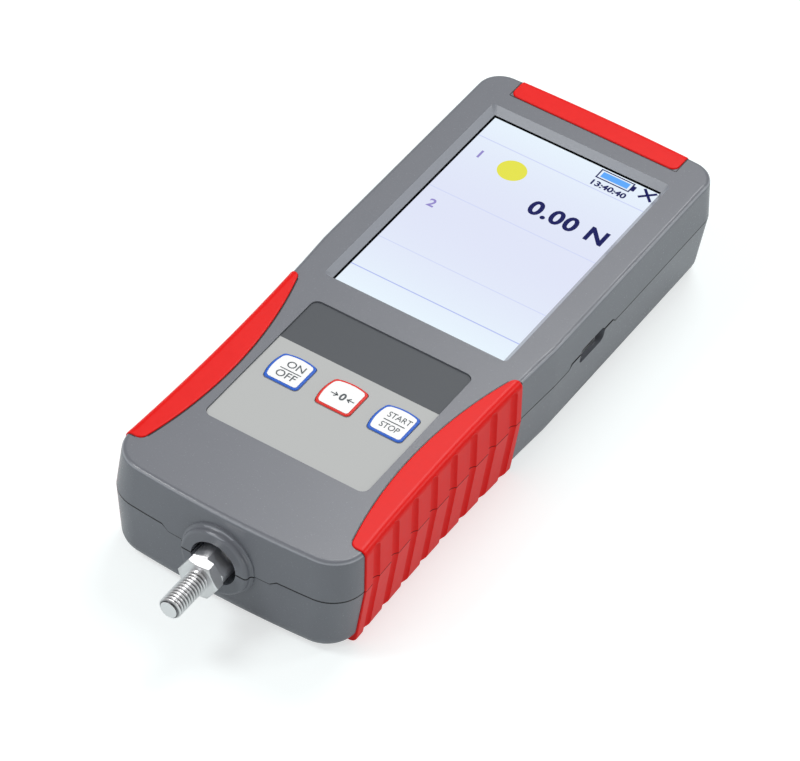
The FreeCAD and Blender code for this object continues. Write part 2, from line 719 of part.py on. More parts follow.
def socket_rise(owner, seam):
    """The parting line's rise at the data socket, cut out of the right wall."""
    rise = sketch(owner, owner.Label + "_rise", "YZ_Plane", "head_half + 2")
    low, high = "(socket_y - socket_step_half)", "(socket_y + socket_step_half)"
    outline(rise, [
        (low + " - socket_step", seam + " - 4"), (high + " + socket_step", seam + " - 4"),
        (high + " + socket_step", seam), (high, seam + " + socket_step"),
        (low, seam + " + socket_step"), (low + " - socket_step", seam),
    ])
    pocket(owner, rise, "head_half - cavity_head_half + 3")


def rear_shell(right_seat, left_seat):
    shell = body("rear_shell_body")
    housing_form(shell, False, base="(parting_height + socket_step)", edge="rear_edge")
    collar(shell)
    seam = "(parting_height - parting_gap / 2)"
    low = "(axis_height - parting_gap / 2)"
    wide = "(flare_half + 20)"
    end = "(tongue_half + tongue_slope)"
    top = "(body_depth + 10)"
    notch = sketch(shell, "rear_shell_notch", "XZ_Plane", "half_length + 10")
    outline(notch, [
        ("0 - " + end, seam), ("0 - tongue_half", low), ("tongue_half", low),
        (end, seam), (end, top), ("0 - " + end, top),
    ])
    pocket(shell, notch, "10 + end_wall + 1")
    line = sketch(shell, "rear_shell_parting", "YZ_Plane", wide)
    first, last = "(socket_y - socket_step_half)", "(socket_y + socket_step_half)"
    reach = "(half_length + 10)"
    outline(line, [
        ("0 - " + reach, seam), (first + " - socket_step", seam),
        (first, seam + " + socket_step"), (last, seam + " + socket_step"),
        (last + " + socket_step", seam), (reach, seam), (reach, top),
        ("0 - " + reach, top),
    ])
    pocket(shell, line, "2 * " + wide)
    flat = sketch(shell, "rear_shell_flat", "XY_Plane", seam)
    rectangle(flat, "0 - " + wide, "cavity_head_half", "0 - " + reach, reach)
    pocket(shell, flat, "socket_step + 1", reverse=True)
    space = sketch(shell, "rear_shell_cavity", "XY_Plane", top)
    cavity_outline(space)
    pocket(shell, space, top + " - rear_wall")
    collar_bore(shell)
    socket_opening(shell)
    split = "(boss_split - parting_gap / 2)"
    posts(shell, "bosses", shell_screw_places(), "boss_radius", "rear_wall",
          split + " - rear_wall", False)
    holes(shell, "screw_holes", shell_screw_places(), "screw_radius + 3 * turn_gap",
          "body_depth", "body_depth + 1")
    holes(shell, "screw_seats", shell_screw_places(), "screw_head + 6 * turn_gap", "0",
          "head_seat", True)
    holes(shell, "mount_holes", mount_places(), "mount_boss + mount_gap", "0",
          "rear_wall + 1", True)
    holes(shell, "frame_holes", frame_screw_places(), "frame_screw + 3 * turn_gap", "0",
          "rear_wall + 1", True)
    countersinks = sketch(shell, "rear_shell_countersinks", "XY_Plane", "0")
    for across, along in frame_screw_places():
        disc(countersinks, across, along, "frame_head + 3 * turn_gap")
    pocket(shell, countersinks, "frame_head_tall", reverse=True,
           draft="-1 * atan((frame_head - frame_screw) / frame_head_tall)")
    tray = sketch(shell, "rear_shell_tray", "XY_Plane", "rear_wall")
    for room in ("tray_gap + tray_wall", "tray_gap"):
        rectangle(tray, "0 - battery_half - (%s)" % room, "battery_half + %s" % room,
                  "battery_front - (%s)" % room, "battery_back + %s" % room)
    pad(shell, tray, "tray_tall")
    return cut("rear_shell", shell, fuse("rear_shell_seats", [right_seat, left_seat]))


# Grips and band

def grooves(label, low, high, lean):
    """The finger grooves of one grip half, as round-ended rods leaning with the wall."""
    rods = []
    for i in range(int(value("groove_count"))):
        along = value("groove_first + %d * groove_pitch" % i)
        across = side_half(along) + value("grip_proud + groove_radius - groove_depth")
        turn = FreeCAD.Rotation(V(0, 1, 0), lean)
        foot = V(across, along, value(SEAM))
        rod = doc.addObject("Part::Cylinder", "%s_rod_%d" % (label, i))
        rod.setExpression("Radius", bound("groove_radius"))
        rod.setExpression("Height", bound("(%s) - (%s)" % (high, low)))
        start = turn.multVec(V(0, 0, value(low) - value(SEAM)))
        rod.Placement = FreeCAD.Placement(foot + start, turn)
        rods.append(rod)
        if value(high) > value(SEAM) + 5:
            ball = doc.addObject("Part::Sphere", "%s_ball_%d" % (label, i))
            ball.setExpression("Radius", bound("groove_radius"))
            tip = turn.multVec(V(0, 0, value(high) - value(SEAM)))
            ball.Placement = FreeCAD.Placement(foot + tip, turn)
            rods.append(ball)
    return fuse(label, rods)


def grip_half(label, top, room):
    """One moulded half of the right grip, and its mirror image for the left."""
    form = body(label + "_form")
    base = SEAM + (" + parting_gap / 2" if top else " - parting_gap / 2")
    housing_form(form, top, base="(%s)" % base, grow="grip_proud", edge="grip_edge")
    blank = common(label + "_blank", form, room)
    if top:
        rods = grooves(label + "_grooves", "parting_height - 1", "groove_top",
                       0 - value("draft"))
    else:
        rods = grooves(label + "_grooves", "0 - 2", "parting_height + 1",
                       value("rear_draft"))
    grooved = cut(label + "_grooved", blank, rods)
    level = at_height("body_depth + grip_proud" if top else "0 - grip_proud")
    right = edges_rounded(label + "_right", grooved, "grip_rim", lambda edge: (
        level(edge) and isinstance(edge.Curve, Part.Circle)))
    return right, mirrored(label + "_left", right)


def end_band(room):
    """The red band that wraps from the display face over the back end."""
    form = body("end_band_form")
    housing_form(form, True, grow="grip_proud", edge="grip_edge")
    blank = common("end_band_blank", form, room)
    return edges_rounded("end_band", blank, "grip_rim",
                         at_height("body_depth + grip_proud"))


# Keypad

def key_outline(made, across, grow):
    """A key's four sides, two of them bowed, round a place on the keypad."""
    half = "(key_half + %s)" % grow
    left, right = "(%s - %s)" % (across, half), "(%s + %s)" % (across, half)
    low, high = "(key_y - %s)" % half, "(key_y + %s)" % half
    outline(made, [(left, low), (right, low), (right, high, "key_bulge", "right"),
                   (left, high, "key_bulge", "right")])


def key(name, across):
    cap = body("key_" + name)
    under = "(body_depth - pad_depth + key_travel + foil_gap)"
    plan = sketch(cap, "key_" + name + "_plan", "XY_Plane", under)
    key_outline(plan, across, "0")
    pad(cap, plan, "key_cap")
    dress(cap, "Fillet", "key_corner", upright)
    dress(cap, "Fillet", "key_edge", at_height(under + " + key_cap"))
    stem = sketch(cap, "key_" + name + "_stem", "XY_Plane", under)
    disc(stem, across, "key_y", "plunger_radius")
    pad(cap, stem, under + " - " + KEYBOARD_TOP + " - dome_tall - key_play",
        reverse=True)
    return cap


def keypad_foil():
    foil = body("keypad_foil")
    plan = sketch(foil, "foil_plan", "XY_Plane", "body_depth - pad_depth")
    rounded(plan, "(foil_gap - pad_half)", "(pad_half - foil_gap)",
            "(pad_front + foil_gap)", "(pad_back - foil_gap)",
            "(pad_corner - foil_gap)")
    pad(foil, plan, "foil_thick")
    for name, across in key_places():
        hole = sketch(foil, "foil_hole_" + name, "XY_Plane", "body_depth")
        key_outline(hole, across, "foil_gap")
        pocket(foil, hole, "pad_depth + 1")
        middle = value(across)
        dress(foil, "Fillet", "key_corner", lambda edge: upright(edge) and abs(
            edge.BoundBox.Center.x - middle) < value("key_half") + 0.5 and abs(
            edge.BoundBox.Center.y - value("key_y")) < value("key_half") + 0.5
            and edge.Length < value("foil_thick") * 1.5
            and edge.BoundBox.XLength < 0.01)
    return foil


def dome(name, across):
    """A snap dome: a shallow cap of thin sheet, solid in this model."""
    made = body("dome_" + name)
    profile = sketch(made, "dome_profile_" + name, "XZ_Plane", "0 - key_y")
    swell = "((dome_radius^2 + dome_tall^2) / (2 * dome_tall))"
    outline(profile, [(across, KEYBOARD_TOP),
                      ("%s + dome_radius" % across, KEYBOARD_TOP, swell, "right"),
                      (across, KEYBOARD_TOP + " + dome_tall")])
    turn = made.newObject("PartDesign::Revolution", "turn_dome_" + name)
    turn.Profile = profile
    profile.addGeometry(Part.LineSegment(V(value(across), 0, 0),
                                         V(value(across), 1, 0)), True)
    turn.ReferenceAxis = (profile, ["Axis0"])
    turn.Angle = 360.0
    profile.Visibility = False
    doc.recompute()
    return made


def slab(label, x_low, x_high, y_low, y_high, base, thick):
    """A plain plate or block."""
    made = body(label)
    plan = sketch(made, label + "_plan", "XY_Plane", base)
    rectangle(plan, x_low, x_high, y_low, y_high)
    pad(made, plan, thick)
    return made


def keypad_board():
    board = slab("keypad_board", "0 - keyboard_half", "keyboard_half", "keyboard_front",
                 "keyboard_back", KEYBOARD_BOTTOM, "keyboard_thick")
    holes(board, "screw_holes", keyboard_places(), "small_screw + turn_gap",
          "body_depth", "body_depth")
    return board


# Display and main board

def ring(label, margin, width, base, thick):
    """A flat frame under the display recess."""
    made = body(label)
    plan = sketch(made, label + "_plan", "XY_Plane", base)
    front, back = "(window_front - glass_margin)", "(window_back + glass_margin)"
    for inset in (margin, "(%s + %s)" % (margin, width)):
        rectangle(plan, "%s - glass_half" % inset, "glass_half - %s" % inset,
                  "%s + %s" % (front, inset), "%s - %s" % (back, inset))
    pad(made, plan, thick)
    return made


def display_plate(label, base, thick):
    return slab(label, "0 - glass_half", "glass_half", "window_front - glass_margin",
                "window_back + glass_margin", base, thick)


def main_board():
    board = slab("main_board", "0 - board_half", "board_half", "board_front",
                 "board_back", BOARD_BOTTOM, "board_thick")
    waist = sketch(board, "main_board_waist", "XY_Plane", "body_depth")
    room = "(cavity_waist_half - 0.7)"
    for sign in ("0 - ", "0 + "):
        rectangle(waist, sign + room, sign + "(board_half + 1)", "board_front - 1",
                  "waist_end + 4.5")
    pocket(board, waist, "body_depth")
    holes(board, "screw_holes", board_places(), "small_screw + turn_gap", "body_depth",
          "body_depth")
    return board


def usb_shell():
    """The pressed shell of the data receptacle, open at its mouth."""
    shell = body("data_receptacle")
    start = "(receptacle_mouth - receptacle_length)"
    face = sketch(shell, "receptacle_face", "YZ_Plane", start)
    half, top = "(receptacle_wide / 2)", BOARD_BOTTOM
    for wall in ("0", "receptacle_wall"):
        rectangle(face, "socket_y - %s + %s" % (half, wall),
                  "socket_y + %s - %s" % (half, wall),
                  "%s - receptacle_tall + %s" % (top, wall), "%s - %s" % (top, wall))
    pad(shell, face, "receptacle_length")
    back = sketch(shell, "receptacle_back", "YZ_Plane", start)
    rectangle(back, "socket_y - " + half, "socket_y + " + half,
              top + " - receptacle_tall", top)
    pad(shell, back, "receptacle_wall")
    return shell


def usb_tongue():
    """The contact tongue inside the receptacle, seated on its back wall."""
    made = body("contact_tongue")
    start = "(receptacle_mouth - receptacle_length + receptacle_wall)"
    face = sketch(made, "tongue_face", "YZ_Plane", start)
    middle = "(%s - receptacle_tall / 2)" % BOARD_BOTTOM
    rectangle(face, "socket_y - tongue_wide / 2", "socket_y + tongue_wide / 2",
              middle + " - tongue_thick / 2", middle + " + tongue_thick / 2")
    pad(made, face, "receptacle_length - 3 * receptacle_wall")
    return made


def buzzer():
    made = body("buzzer")
    posts(made, "can", [("buzzer_x", "buzzer_y")], "buzzer_radius", BOARD_BOTTOM,
          "buzzer_tall", True)
    return made


def battery():
    made = slab("battery_pack", "0 - battery_half", "battery_half", "battery_front",
                "battery_back", "rear_wall + battery_pad", "battery_thick")
    dress(made, "Fillet", "battery_corner",
          lambda edge: edge.BoundBox.YLength > value("battery_half"))
    return made


def flex(label, across, start, start_height, finish, finish_height):
    """A flat flexible lead with a soldered land at each end."""
    made = body(label)
    run = sketch(made, label + "_run", "YZ_Plane", "%s - flex_half" % across)
    way = "0 + " if value(finish) > value(start) else "0 - "
    first = "(%s %s flex_land)" % (start, way[2])
    last = "(%s %s flex_land)" % (finish, "-" if way[2] == "+" else "+")
    low, high = start_height, finish_height
    steps = [(start, low), (first, low), (last, high), (finish, high),
             (finish, high + " + flex_thick"), (last, high + " + flex_thick"),
             (first, low + " + flex_thick"), (start, low + " + flex_thick")]
    outline(run, steps)
    pad(made, run, "2 * flex_half")
    return made


# Load train

def turned(label, steps):
    """A piece turned about the load axis. Each step is a radius and a place on Y."""
    made = body(label)
    profile = sketch(made, label + "_profile", "XY_Plane")
    outline(profile, steps)
    turn = made.newObject("PartDesign::Revolution", "turn_" + label)
    turn.Profile = profile
    turn.ReferenceAxis = (profile, ["V_Axis"])
    turn.Angle = 360.0
    profile.Visibility = False
    doc.recompute()
    return made


def on_axis(made, turn="0"):
    """Put a turned piece on the load axis, turned about it."""
    made.Placement = FreeCAD.Placement(V(0, 0, value("axis_height")),
                                       FreeCAD.Rotation(V(0, 1, 0), value(turn)))
    made.setExpression(".Placement.Base.z", bound("axis_height"))
    doc.recompute()
    return made


def load_shaft():
    back = "(cell_front - load_travel - turn_gap)"
    edge = "shaft_edge"
    shaft = turned("load_shaft", [
        ("0", SHAFT_END), ("shaft_radius - " + edge, SHAFT_END),
        ("shaft_radius", SHAFT_END + " + " + edge), ("shaft_radius", back),
        ("spigot_radius", back), ("spigot_radius", back + " + spigot_length"),
        ("0", back + " + spigot_length"),
    ])
    flats = sketch(shaft, "load_shaft_flats", "XZ_Plane", "half_length + shaft_reach + 1")
    for sign in ("0 - ", "0 + "):
        rectangle(flats, "0 - shaft_radius - 1", "shaft_radius + 1",
                  sign + "shaft_flat", sign + "(shaft_radius + 1)")
    pocket(shaft, flats, "flat_length + 1")
    thread = sketch(shaft, "load_shaft_thread", "XZ_Plane",
                    "half_length + shaft_reach + 1")
    disc(thread, "0", "0", "thread_mean")
    pocket(shaft, thread, "stud_grip + 1.5")
    return on_axis(shaft, "flat_turn")


def threaded_stud():
    tip = "(%s - stud_reach)" % SHAFT_END
    root = "(%s + stud_grip)" % SHAFT_END
    free = "(%s - nut_gap - nut_thick - 3 * turn_gap)" % SHAFT_END
    edge, inner = "stud_edge", "(thread_mean - turn_gap)"
    return on_axis(turned("threaded_stud", [
        ("0", tip), ("stud_radius - " + edge, tip), ("stud_radius", tip + " + " + edge),
        ("stud_radius", free), (inner, free), (inner, root + " - " + edge),
        (inner + " - " + edge, root), ("0", root),
    ]))


def lock_nut():
    nut = body("lock_nut")
    start = "half_length + shaft_reach + nut_gap"
    face = sketch(nut, "lock_nut_face", "XZ_Plane", start)
    corner, flat = "(nut_flats / sqrt(3))", "(nut_flats / 2)"
    outline(face, [
        (corner, "0"), ("0.5 * " + corner, flat), ("0 - 0.5 * " + corner, flat),
        ("0 - " + corner, "0"), ("0 - 0.5 * " + corner, "0 - " + flat),
        ("0.5 * " + corner, "0 - " + flat),
    ])
    pad(nut, face, "nut_thick")
    bevel = sketch(nut, "lock_nut_bevel", "XY_Plane")
    near, far = "(0 - (%s))" % start, "(0 - (%s) - nut_thick)" % start
    for place, way in ((near, "-"), (far, "+")):
        outline(bevel, [(corner + " + 1", place),
                        (corner + " + 1", "%s %s nut_edge * 2" % (place, way)),
                        (corner + " + 0.01", "%s %s nut_edge" % (place, way)),
                        (flat + " - 0.15", place)])
    groove = nut.newObject("PartDesign::Groove", "lock_nut_groove")
    groove.Profile = bevel
    groove.ReferenceAxis = (bevel, ["V_Axis"])
    groove.Angle = 360.0
    bevel.Visibility = False
    thread = sketch(nut, "lock_nut_thread", "XZ_Plane", start + " + nut_thick + 1")
    disc(thread, "0", "0", "thread_mean")
    pocket(nut, thread, "nut_thick + 2")
    return on_axis(nut, "nut_turn")


def load_cell():
    """An S-shaped bending beam: two slots from opposite sides leave three arms."""
    base = "(axis_height - cell_tall / 2)"
    cell = slab("load_cell", "0 - cell_half", "cell_half", "cell_front", CELL_BACK,
                base, "cell_tall")
    slots = sketch(cell, "load_cell_slots", "XY_Plane", "body_depth")
    first = "(cell_front + cell_arm)"
    last = "(%s - cell_arm)" % CELL_BACK
    rectangle(slots, "cell_web - cell_half", "cell_half + 1", first,
              first + " + cell_slot")
    rectangle(slots, "0 - cell_half - 1", "cell_half - cell_web", last + " - cell_slot",
              last)
    pocket(cell, slots, "body_depth")
    bore = sketch(cell, "load_cell_bores", "XZ_Plane", "1 - cell_front")
    disc(bore, "0", "axis_height", "spigot_radius + turn_gap")
    pocket(cell, bore, "cell_arm + 1.5")
    rear = sketch(cell, "load_cell_rear_bore", "XZ_Plane", "0 - %s - 1" % CELL_BACK)
    disc(rear, "0", "axis_height", "spigot_radius + turn_gap")
    pocket(cell, rear, "cell_arm + 1.5", reverse=True)
    return cell


def mounting_frame():
    """The stiff plate that carries the load cell and the rear mounting threads."""
    frame = slab("mounting_frame", "0 - frame_half", "frame_half", "frame_front",
                 "frame_back", "rear_wall", "frame_thick")
    lug = sketch(frame, "frame_lug", "XY_Plane", FRAME_TOP)
    rectangle(lug, "0 - lug_half", "lug_half", CELL_BACK, CELL_BACK + " + lug_thick")
    pad(frame, lug, "axis_height + cell_tall / 2 - " + FRAME_TOP)
    ribs = sketch(frame, "frame_ribs", "YZ_Plane", "0 - lug_half")
    foot = "(%s + lug_thick)" % CELL_BACK
    outline(ribs, [(foot, FRAME_TOP), (foot + " + rib_run", FRAME_TOP),
                   (foot, "axis_height + cell_tall / 3")])
    pad(frame, ribs, "rib_thick")
    other = sketch(frame, "frame_other_rib", "YZ_Plane", "lug_half - rib_thick")
    outline(other, [(foot, FRAME_TOP), (foot + " + rib_run", FRAME_TOP),
                    (foot, "axis_height + cell_tall / 3")])
    pad(frame, other, "rib_thick")
    posts(frame, "bosses", mount_places(), "mount_boss", "rear_wall", "rear_wall", True)
    holes(frame, "threads", mount_places(), "mount_hole", FRAME_TOP, FRAME_TOP + " + 1")
    holes(frame, "screw_threads", frame_screw_places(), "frame_screw + turn_gap",
          FRAME_TOP, FRAME_TOP + " + 1")
    bore = sketch(frame, "frame_bore", "XZ_Plane", "0 - %s + 1" % CELL_BACK)
    disc(bore, "0", "axis_height", "spigot_radius + 3 * turn_gap")
    pocket(frame, bore, "lug_thick + 2")
    return frame


def cell_screw():
    """The socket screw that holds the load cell to the frame's lug."""
    seat = "(%s + lug_thick)" % CELL_BACK
    tip = "(%s - cell_arm)" % CELL_BACK
    head = "(1.6 * spigot_radius)"
    screw = turned("cell_screw", [
        ("0", tip), ("spigot_radius", tip), ("spigot_radius", seat), (head, seat),
        (head, seat + " + 1.6 * spigot_radius"), ("0", seat + " + 1.6 * spigot_radius"),
    ])
    dress(screw, "Chamfer", "shaft_edge",
          lambda edge: edge.BoundBox.YMin > value(seat) + 1)
    return on_axis(screw)


# Fasteners

def upright_screw(label, radius, head, head_tall, length, base, headless_cone=False):
    """A screw that stands head down, with its head's underside at a height."""
    made = body(label + "_one")
    profile = sketch(made, label + "_profile", "XZ_Plane")
    under = "(%s + %s)" % (base, head_tall)
    neck = radius if headless_cone else head
    outline(profile, [("0", base), (head, base), (neck, under), (radius, under)]
            [:4 if not headless_cone else 3]
            + [(radius, "%s + %s" % (under, length)), ("0", "%s + %s" % (under, length))])
    turn = made.newObject("PartDesign::Revolution", "turn_" + label)
    turn.Profile = profile
    turn.ReferenceAxis = (profile, ["V_Axis"])
    turn.Angle = 360.0
    profile.Visibility = False
    doc.recompute()
    return made


def group(label, one, places):
    """Separate copies of one solid on a group of places, as one sub-part."""
    copies = []
    for across, along in places:
        copy = one.Shape.copy()
        copy.translate(V(value(across), value(along), 0))
        copies.append(copy)
    made = doc.addObject("Part::Feature", label)
    made.Shape = Part.makeCompound(copies)
    return made


def strain_gauges():
    """Four foil gauges glued on the load cell, over and under its middle arm."""
    half, side = "(gauge_side / 2)", "(cell_half - cell_web)"
    middle = "(cell_front + cell_length / 2)"
    pieces = []
    for base in ("(axis_height + cell_tall / 2)",
                 "(axis_height - cell_tall / 2 - gauge_thick)"):
        for sign in ("0 - ", "0 + "):
            across = value(sign + side)
            piece = Part.makeBox(value("gauge_side"), value("gauge_side"),
                                 value("gauge_thick"),
                                 V(across - value(half), value(middle) - value(half),
                                   value(base)))
            pieces.append(piece)
    made = doc.addObject("Part::Feature", "strain_gauges")
    made.Shape = Part.makeCompound(pieces)
    return made


def build():
    """Every sub-part by its own name."""
    seat = grip_space("grip_seat", "0")
    left_seat = mirrored("grip_seat_left", seat)
    parts = {"front_shell": front_shell(seat, left_seat, band_space("band_seat_room", "0")),
             "rear_shell": rear_shell(seat, left_seat)}
    room = grip_space("grip_room", "grip_gap")
    for half, top in (("upper", True), ("lower", False)):
        right, left = grip_half("grip_" + half, top, room)
        parts["grip_right_" + half] = right
        parts["grip_left_" + half] = left
    parts["end_band"] = end_band(band_space("band_room", "grip_gap"))
    parts["keypad_foil"] = keypad_foil()
    for name, across in key_places():
        parts["key_" + name] = key(name, across)
        parts["dome_" + name] = dome(name, across)
    parts["keypad_board"] = keypad_board()
    parts["touch_panel"] = display_plate("touch_panel", LCD_TOP, "glass_thick")
    parts["display_gasket"] = ring("display_gasket", "0", "gasket_width", GLASS_TOP,
                                   "gasket_thick")
    parts["display_module"] = display_plate("display_module", LCD_BOTTOM, "lcd_thick")
    parts["display_carrier"] = ring("display_carrier", "0", "carrier_width", BOARD_TOP,
                                    "carrier_thick")
    parts["main_board"] = main_board()
    parts["data_receptacle"] = usb_shell()
    parts["contact_tongue"] = usb_tongue()
    parts["buzzer"] = buzzer()
    parts["battery_foam"] = slab("battery_foam", "0 - battery_half + 2",
                                 "battery_half - 2", "battery_front + 2",
                                 "battery_back - 2", "rear_wall", "battery_pad")
    parts["battery_pack"] = battery()
    under_board = "(%s - flex_thick)" % BOARD_BOTTOM
    parts["keypad_flex"] = flex("keypad_flex", "0", "(keyboard_back - 6)",
                                "(%s - flex_thick)" % KEYBOARD_BOTTOM,
                                "(board_front + flex_land + 1)", BOARD_TOP)
    parts["cell_flex"] = flex("cell_flex", "(cell_half - flex_half)",
                              "(%s - flex_land)" % CELL_BACK,
                              "(axis_height + cell_tall / 2)",
                              "(board_front + flex_land - foil_gap)", under_board)
    parts["battery_flex"] = flex("battery_flex", "(battery_half / 2)",
                                 "(battery_front + flex_land + 3)",
                                 "(rear_wall + battery_pad + battery_thick)",
                                 "(board_front + flex_land)", under_board)
    parts["load_cell"] = load_cell()
    parts["strain_gauges"] = strain_gauges()
    parts["load_shaft"] = load_shaft()
    parts["threaded_stud"] = threaded_stud()
    parts["lock_nut"] = lock_nut()
    parts["mounting_frame"] = mounting_frame()
    parts["cell_screw"] = cell_screw()
    parts["housing_screws"] = group("housing_screws", upright_screw(
        "housing_screw", "screw_radius", "screw_head", "head_tall", "screw_length",
        "(head_seat - head_tall)"), shell_screw_places())
    parts["frame_screws"] = group("frame_screws", upright_screw(
        "frame_screw", "frame_screw", "frame_head", "frame_head_tall",
        "(%s - frame_head_tall)" % FRAME_TOP, "0", True), frame_screw_places())
    parts["board_screws"] = group("board_screws", upright_screw(
        "board_screw", "small_screw", "small_head", "small_tall", "small_length",
        "(%s - small_tall)" % BOARD_BOTTOM), board_places())
    parts["keypad_screws"] = group("keypad_screws", upright_screw(
        "keypad_screw", "small_screw", "small_head", "small_tall", "keyboard_thick",
        "(%s - small_tall)" % KEYBOARD_BOTTOM), keyboard_places())
    return parts


def check_and_write(parts):
    """Stop on any failed object or shape, then write one file for each sub-part."""
    doc.recompute()
    for made in doc.Objects:
        assert not {"Invalid", "Error"} & set(made.State), "failed: " + made.Name
    os.makedirs("parts", exist_ok=True)
    for label, made in parts.items():
        shape = made.Shape
        assert not shape.isNull() and shape.isValid(), "bad shape: " + label
        made.Label = label
        shape.exportStep(os.path.join("parts", label + ".step"))
        box = shape.BoundBox
        print("%-18s solids %d volume %9.1f  x %.1f..%.1f y %.1f..%.1f z %.1f..%.1f" % (
            label, len(shape.Solids), shape.Volume, box.XMin, box.XMax, box.YMin,
            box.YMax, box.ZMin, box.ZMax))


check_and_write(build())
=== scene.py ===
# %% [markdown]
# Force gauge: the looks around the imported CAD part.
# The part lies on its back. Lengths are in metres here, and helper functions take millimetres.
# The visual model adds what the CAD solids leave out: surface finishes, the key marks,
# the picture on the display and the real thread on the load stud.

# %%
import json
import math
import bpy
from mathutils import Matrix, Vector


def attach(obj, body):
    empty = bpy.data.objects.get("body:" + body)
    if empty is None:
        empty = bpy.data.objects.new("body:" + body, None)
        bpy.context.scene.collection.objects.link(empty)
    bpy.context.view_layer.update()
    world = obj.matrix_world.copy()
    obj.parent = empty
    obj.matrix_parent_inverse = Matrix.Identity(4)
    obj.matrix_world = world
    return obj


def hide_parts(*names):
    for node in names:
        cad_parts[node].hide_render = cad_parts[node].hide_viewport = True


MM = 0.001
# The load stud and its M6 thread, in mm: the height of the axis, where the stud starts
# and ends along Y, then the thread's pitch and the radii of its crest and root.
AXIS_HEIGHT, STUD_TIP, STUD_ROOT = 17.0, -110.6, -95.3
PITCH, CREST, ROOT_RADIUS = 1.0, 3.0, 2.4
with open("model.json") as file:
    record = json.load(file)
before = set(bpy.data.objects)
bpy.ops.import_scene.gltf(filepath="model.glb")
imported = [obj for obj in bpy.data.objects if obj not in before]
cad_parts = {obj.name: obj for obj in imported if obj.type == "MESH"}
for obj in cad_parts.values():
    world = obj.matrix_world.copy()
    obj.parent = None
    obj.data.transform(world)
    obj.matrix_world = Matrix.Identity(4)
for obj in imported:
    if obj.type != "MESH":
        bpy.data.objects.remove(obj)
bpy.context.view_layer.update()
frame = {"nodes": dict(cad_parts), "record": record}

# %% [markdown]
# A shader value that can be added, multiplied and compared like a number.
# Each operator makes one Math node in the material that the value belongs to.


# %%
class Field:
    """One varying value inside a material."""

    def __init__(self, surface, socket):
        self.surface, self.socket = surface, socket

    def math(self, operation, *others):
        made = self.surface.node("ShaderNodeMath", {"operation": operation},
                                 self, *others)
        return Field(self.surface, made.outputs[0])

    def __add__(self, other):
        return self.math("ADD", other)

    def __sub__(self, other):
        return self.math("SUBTRACT", other)

    def __mul__(self, other):
        return self.math("MULTIPLY", other)

    def __truediv__(self, other):
        return self.math("DIVIDE", other)

    def __rsub__(self, other):
        return self.math("MULTIPLY", -1.0).math("ADD", other)

    def __gt__(self, other):
        return self.math("GREATER_THAN", other)

    def __lt__(self, other):
        return self.math("LESS_THAN", other)

    def size(self):
        return self.math("ABSOLUTE")

    def near(self, value, reach):
        """One where this value is within reach of another, zero elsewhere."""
        return (self - value).size() < reach

    def limited(self):
        return self.math("MAXIMUM", 0.0).math("MINIMUM", 1.0)

    def either(self, other):
        return self.math("MAXIMUM", other)

    __radd__ = __add__
    __rmul__ = __mul__


class Surface:
    """A material with one Principled shader and short ways to feed it."""

    def __init__(self, name, base, roughness, metallic=0.0, specular=0.5):
        self.material = bpy.data.materials.new(name)
        self.material.use_nodes = True
        self.tree = self.material.node_tree
        self.shader = self.tree.nodes["Principled BSDF"]
        self.set("Base Color", tuple(base) + (1.0,))
        self.set("Roughness", roughness)
        self.set("Metallic", metallic)
        self.set("Specular IOR Level", specular)

    def node(self, kind, settings, *values, **links):
        """Any other node: its type, its settings, then its inputs in order or by name."""
        made = self.tree.nodes.new(kind)
        for name, setting in settings.items():
            setattr(made, name, setting)
        for target, value in list(enumerate(values)) + list(links.items()):
            socket = made.inputs[target]
            source = getattr(value, "socket", value)
            if isinstance(source, bpy.types.NodeSocket):
                self.tree.links.new(source, socket)
            else:
                socket.default_value = source
        return made

    def set(self, name, value):
        """Set a shader input to a number or colour, or link a varying value to it."""
        source = getattr(value, "socket", value)
        if isinstance(source, bpy.types.NodeSocket):
            self.tree.links.new(source, self.shader.inputs[name])
        else:
            self.shader.inputs[name].default_value = value

    def place(self):
        """The point being shaded, in the part's own frame, as three values in mm."""
        spot = self.node("ShaderNodeTexCoord", {})
        split = self.node("ShaderNodeSeparateXYZ", {}, spot.outputs["Object"])
        return [Field(self, split.outputs[i]) * 1000.0 for i in range(3)]

    def facing_up(self):
        """How far the surface faces up, from -1 to 1."""
        spot = self.node("ShaderNodeTexCoord", {})
        split = self.node("ShaderNodeSeparateXYZ", {}, spot.outputs["Normal"])
        return Field(self, split.outputs[2])

    def noise(self, scale, detail=2.0, roughness=0.5, stretch=(1.0, 1.0, 1.0)):
        """Soft random values from 0 to 1. The scale is in lumps per metre."""
        spot = self.node("ShaderNodeTexCoord", {})
        sized = self.node("ShaderNodeMapping", {}, spot.outputs["Object"],
                          Scale=stretch)
        made = self.node("ShaderNodeTexNoise", {}, sized.outputs[0], Scale=scale,
                         Detail=detail, Roughness=roughness)
        return Field(self, made.outputs[0])

    def mix(self, share, first, second):
        """A colour between two colours."""
        made = self.node("ShaderNodeMix", {"data_type": "RGBA"})
        self.tree.links.new(share.socket, made.inputs[0])
        for socket, colour in ((made.inputs[6], first), (made.inputs[7], second)):
            if isinstance(colour, bpy.types.NodeSocket):
                self.tree.links.new(colour, socket)
            else:
                socket.default_value = tuple(colour) + (1.0,)
        return made.outputs[2]

    def bump(self, height, strength, distance):
        """Small relief from a height value. The distance is in mm."""
        made = self.node("ShaderNodeBump", {}, Strength=strength,
                         Distance=distance * MM, Height=height)
        self.set("Normal", made.outputs["Normal"])


def srgb(red, green, blue):
    """A screen colour from 0 to 255 as the linear values that the shaders use."""
    return tuple(((c / 255.0 + 0.055) / 1.055) ** 2.4 if c > 10 else c / 3294.6
                 for c in (red, green, blue))


